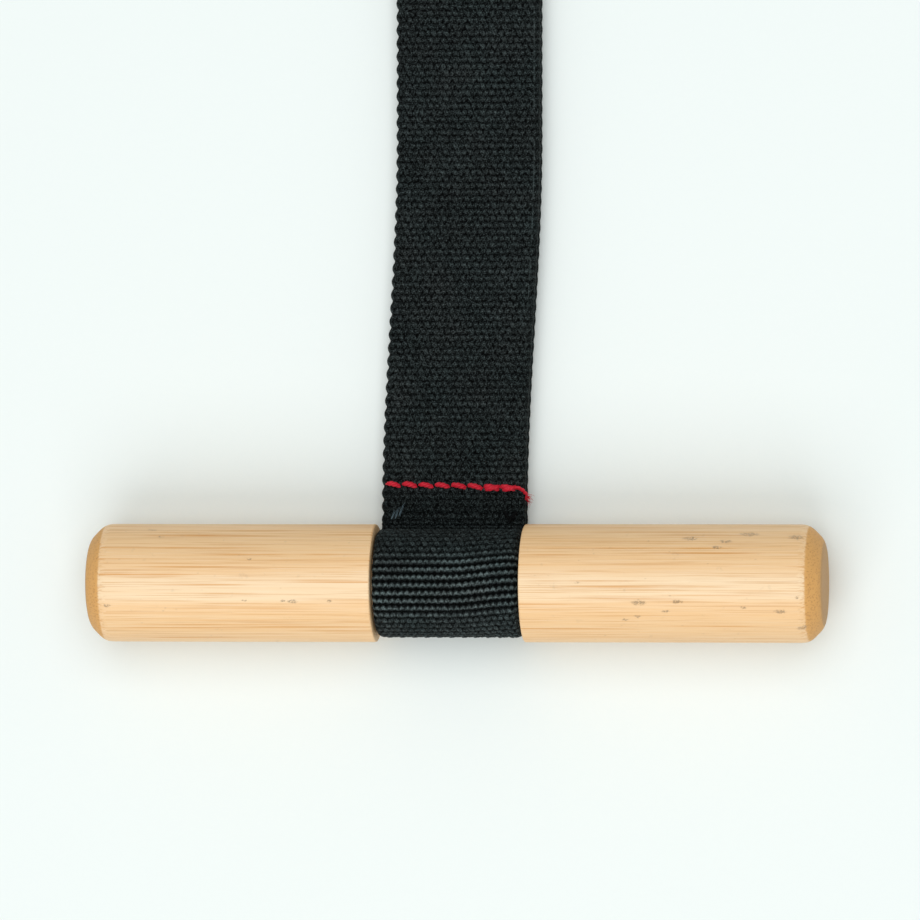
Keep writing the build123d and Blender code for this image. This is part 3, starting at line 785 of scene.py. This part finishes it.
def filament(start, heading, length, curl, radius):
    """One loose filament that curls away from where it starts."""
    heading = np.array(heading, float)
    heading /= np.linalg.norm(heading)
    bend = np.array([rng.uniform(-1, 1), rng.uniform(-1, 1), rng.uniform(-0.3, 0.5)]) * curl
    place, path = np.array(start, float), []
    for _ in range(FILAMENT_STEPS):
        path.append(place.copy())
        place = place + heading * length / FILAMENT_STEPS
        heading = heading + bend / FILAMENT_STEPS
        heading /= np.linalg.norm(heading)
    taper = np.linspace(1, 0.4, FILAMENT_STEPS) * radius
    return sweep(path, taper, 5)


def thread_piece(name, parts, material, body):
    """A thread mesh that rides on a body, with the slot of its colour."""
    points, faces = gather(parts)
    piece = mesh_piece(name, points, faces, material)
    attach(piece, body)
    return piece


def red_needle_row():
    """The red row on top: slanting stitches, two worked back over each other, and a frayed tail."""
    middle = GROOVE_X + SIDESTEP
    holes = row_holes(middle - 0.55, RED_PITCH)
    top = 2 * WEB - 0.12
    parts = []

    def row_y(x):
        return BAR_Y + RED_ROW + 0.28 - 0.03 * (x - middle)

    for a, b in zip(holes, holes[1:]):
        start = (a + 0.1, row_y(a) + 0.3 + rng.uniform(-0.07, 0.07), top)
        end = (b + 0.05, row_y(b) - 0.2 + rng.uniform(-0.07, 0.07), top)
        parts.append(stitch(start, end, 1.0, 0.12, bow=-0.16, shake=0.08))
    for a, b, lift in ((holes[-3] + 0.3, holes[-2] + 0.2, 0.2), (holes[-2] + 0.5, holes[-1] + 0.2, 0.26)):
        start = (a, row_y(a) - 0.34, top + lift)
        end = (b, row_y(b) + 0.4, top + lift)
        parts.append(stitch(start, end, 1.1, 0.12, bow=0.1, size=0.42))
    y = row_y(holes[-1])
    edge = middle + WEB_WIDTH / 2 + FULLNESS
    t = np.linspace(0, 1, 22)
    path = np.stack([
        holes[-1] + (edge + 0.2 - holes[-1]) * np.sin(t * 1.5) ** 0.8,
        y + 0.2 - 2.2 * t ** 1.7,
        top + 0.12 - 1.5 * t ** 1.6,
    ], 1)
    for ply in range(PLIES):
        angle = ply * 2.094 + t * 7.0
        spread = 0.17 + 0.22 * t ** 2
        off = np.stack([np.cos(angle) * spread, np.sin(angle) * 0.6 * spread, np.sin(angle) * spread], 1)
        parts.append(sweep(path + off, 0.25 - 0.13 * t, YARN_SIDES))
    for _ in range(26):
        at = path[rng.randrange(13, 22)]
        heading = (rng.uniform(0.1, 1.0), rng.uniform(-1.0, 0.1), rng.uniform(-0.4, 0.5))
        parts.append(filament(at, heading, rng.uniform(0.7, 1.9), 1.4, 0.03))
    return parts


def plain_row(middle, station, pitch, surface, sink, size, flip=1.0, slant=0.12):
    """A plain row of stitches across the strap at a height; flip is -1 for the floor side."""
    holes = row_holes(middle, pitch)
    y = BAR_Y + station
    parts = []
    for a, b in zip(holes, holes[1:]):
        start = (a + 0.08, y + slant + rng.uniform(-0.05, 0.05), surface)
        end = (b, y - slant + rng.uniform(-0.05, 0.05), surface)
        parts.append(stitch(start, end, sink * flip, 0.1 * flip, size=size, shake=0.05))
    return parts


def box_row(surface, sink, size, flip=1.0):
    """The closed rectangle of sewing that joins the eye's three layers."""
    middle = centre_x(THROAT)
    near, far = SPLICE_START + SPLICE_BOX_FRONT, THROAT - SPLICE_BOX_BACK
    across = row_holes(middle, BLACK_PITCH)
    steps = round((far - near) / BLACK_PITCH)
    climb = [near + (far - near) * i / steps for i in range(steps + 1)]
    corners = [(x, near) for x in across] + [(across[-1], s) for s in climb[1:]]
    corners += [(x, far) for x in across[-2::-1]] + [(across[0], s) for s in climb[-2::-1]]
    parts = []
    for (ax, ay), (bx, by) in zip(corners, corners[1:]):
        start, end = (ax, BAR_Y + ay, surface), (bx, BAR_Y + by, surface)
        parts.append(stitch(start, end, sink * flip, 0.1 * flip, size=size, shake=0.05))
    return parts


def tuft_parts():
    """Pale broken filaments that stand out of the black row's left end."""
    parts = []
    for i in range(12):
        strand = i % 3
        x = GROOVE_X - 10.9 + 0.72 * strand + rng.uniform(-0.1, 0.1)
        start = (x, BAR_Y + 10.7 + 0.3 * strand + rng.uniform(-0.2, 0.3), 2 * WEB - 0.25)
        heading = (rng.uniform(0.38, 0.5), rng.uniform(0.95, 1.05), rng.uniform(0.06, 0.18))
        parts.append(filament(start, heading, rng.uniform(1.6, 2.5), 0.25, 0.05))
    return parts


def knot_parts():
    """The crossed dark thread ends at the black row's right end."""
    middle = np.array([GROOVE_X + 9.5, BAR_Y + 11.0, 2 * WEB - 0.3])
    ends = [
        ((-1.2, 1.5, 0), (0.4, -0.9, 0.05)),
        ((1.1, 1.2, 0.1), (-0.2, -1.1, 0.15)),
        ((-0.5, 0.2, 0), (0.9, 0.1, 0.2)),
    ]
    parts = []
    for start, end in ends:
        parts.append(stitch(middle + start, middle + end, 0.35, 0.1, size=0.3, twist=1.6, bow=0.15))
    for _ in range(8):
        heading = (rng.uniform(-1, 1), rng.uniform(-1, 0.6), rng.uniform(0.0, 0.4))
        parts.append(filament(middle, heading, rng.uniform(0.8, 1.4), 1.0, 0.05))
    return parts


# ---------------------------------------------------------------------------------- the object

BAMBOO = bamboo()
BLACK_CLOTH = woven()
RED_YARN = yarn("red_thread", (0.42, 0.002, 0.012, 1), (0.76, 0.016, 0.045, 1), 0.12, 0.45)
BLACK_YARN = yarn("black_thread", (0.001, 0.0011, 0.0012, 1), (0.006, 0.0068, 0.007, 1), 0.0, 0.42, 0.06)
LINT = yarn("pale_filament", (0.055, 0.09, 0.11, 1), (0.15, 0.215, 0.25, 1), 0.1, 0.45)

bar = bar_piece(BAMBOO)
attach(bar, "bar")
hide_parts("toggle_bar")

round_bar = band_piece("webbing_round_bar", [(LOWER_SEAM, UPPER_SEAM)], BLACK_CLOTH)
eye_band = band_piece("webbing_to_eye", [(0.0, LOWER_SEAM), (UPPER_SEAM, BAND.length)], BLACK_CLOTH)
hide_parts("webbing_sleeve", "webbing_lower_run", "webbing_upper_run")
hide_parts("webbing_eye", "webbing_lower_end")
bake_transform(round_bar)
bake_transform(eye_band)

EYE_X = centre_x(THROAT)
FLOOR_SIDE = 0.55
rows = [
    ("red_needle_thread", red_needle_row(), RED_YARN, "sleeve", "red_thread"),
    ("red_bobbin_thread", plain_row(GROOVE_X, RED_ROW, RED_PITCH, FLOOR_SIDE, 0.8, 0.42, -1.0),
     RED_YARN, "sleeve", "red_thread"),
    ("closing_needle_thread", plain_row(GROOVE_X, CLOSING_ROW, BLACK_PITCH, 2 * WEB - 0.86, 0.4, 0.28)
     + knot_parts(), BLACK_YARN, "sleeve", "black_thread"),
    ("closing_bobbin_thread", plain_row(GROOVE_X, CLOSING_ROW, BLACK_PITCH, FLOOR_SIDE, 0.8, 0.42, -1.0),
     BLACK_YARN, "sleeve", "black_thread"),
    ("throat_needle_thread", plain_row(EYE_X, THROAT_ROW, RED_PITCH, 3 * WEB - 0.12, 1.0, 0.46),
     RED_YARN, "eye", "red_thread"),
    ("throat_bobbin_thread", plain_row(EYE_X, THROAT_ROW, RED_PITCH, FLOOR_SIDE, 0.8, 0.42, -1.0),
     RED_YARN, "eye", "red_thread"),
    ("splice_needle_thread", box_row(3 * WEB - 0.2, 0.9, 0.42), BLACK_YARN, "eye", "black_thread"),
    ("splice_bobbin_thread", box_row(FLOOR_SIDE, 0.8, 0.42, -1.0), BLACK_YARN, "eye", "black_thread"),
]
for cad_name, parts, material, body, slot_name in rows:
    piece = thread_piece(cad_name.replace("thread", "stitches"), parts, material, body)
    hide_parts(cad_name)
thread_piece("pale_tuft", tuft_parts(), LINT, "sleeve")


# ------------------------------------------------------------------------- floor, lights, camera

def floor():
    """A wide pale floor under the object."""
    size, z = 6.0, -0.02
    points = [(-size, -size, 0), (size, -size, 0), (size, size, 0), (-size, size, 0)]
    made = mesh_piece("floor", np.array(points) / MM, [(0, 1, 2, 3)], paper())
    made.location.z = z * MM


def area_light(name, place, target, size, power, colour):
    """A soft rectangular light aimed at a point."""
    data = bpy.data.lights.new(name, "AREA")
    data.shape = "RECTANGLE"
    data.size, data.size_y = size
    data.energy = power
    data.color = colour
    light = bpy.data.objects.new(name, data)
    bpy.context.scene.collection.objects.link(light)
    light.location = place
    direction = Vector(target) - Vector(place)
    light.rotation_euler = direction.to_track_quat("-Z", "Y").to_euler()


def light_scene():
    """A broad key from the near side, a soft light from almost above, and a pale surround."""
    here = (0, BAR_Y * MM, 0)
    area_light("key", (-0.15, -1.25, 1.4), here, (1.7, 1.2), 14.5, (1.0, 0.985, 0.965))
    area_light("top", (0.1, 0.3, 1.9), here, (1.6, 1.6), 18.6, (0.975, 0.99, 1.0))
    world = bpy.data.worlds.new("surround")
    world.use_nodes = True
    world.node_tree.nodes["Background"].inputs["Color"].default_value = (0.93, 1.0, 0.99, 1)
    world.node_tree.nodes["Background"].inputs["Strength"].default_value = 0.43
    bpy.context.scene.world = world
    bpy.context.scene.view_settings.view_transform = "Standard"


CAMERA_TILT = 7.5  # degrees towards +X from straight above
CAMERA_AWAY = 1750.0
VIEW_WIDTH = 155.2  # what the picture spans at the height of the bar's axis
SENSOR = 36.0


def camera():
    """Straight down, leaning a little to the right, with the strap running up the picture."""
    data = bpy.data.cameras.new("camera")
    data.sensor_width = SENSOR
    data.lens = SENSOR * CAMERA_AWAY / VIEW_WIDTH
    data.clip_end = 20.0
    made = bpy.data.objects.new("camera", data)
    bpy.context.scene.collection.objects.link(made)
    tilt = np.radians(CAMERA_TILT)
    target = np.array([0.55, BAR_Y + 20.8, BAR_Z])
    place = target + CAMERA_AWAY * np.array([np.sin(tilt), 0, np.cos(tilt)])
    made.location = place * MM
    made.rotation_euler = (0, tilt, 0)
    bpy.context.scene.camera = made


floor()
light_scene()
camera()
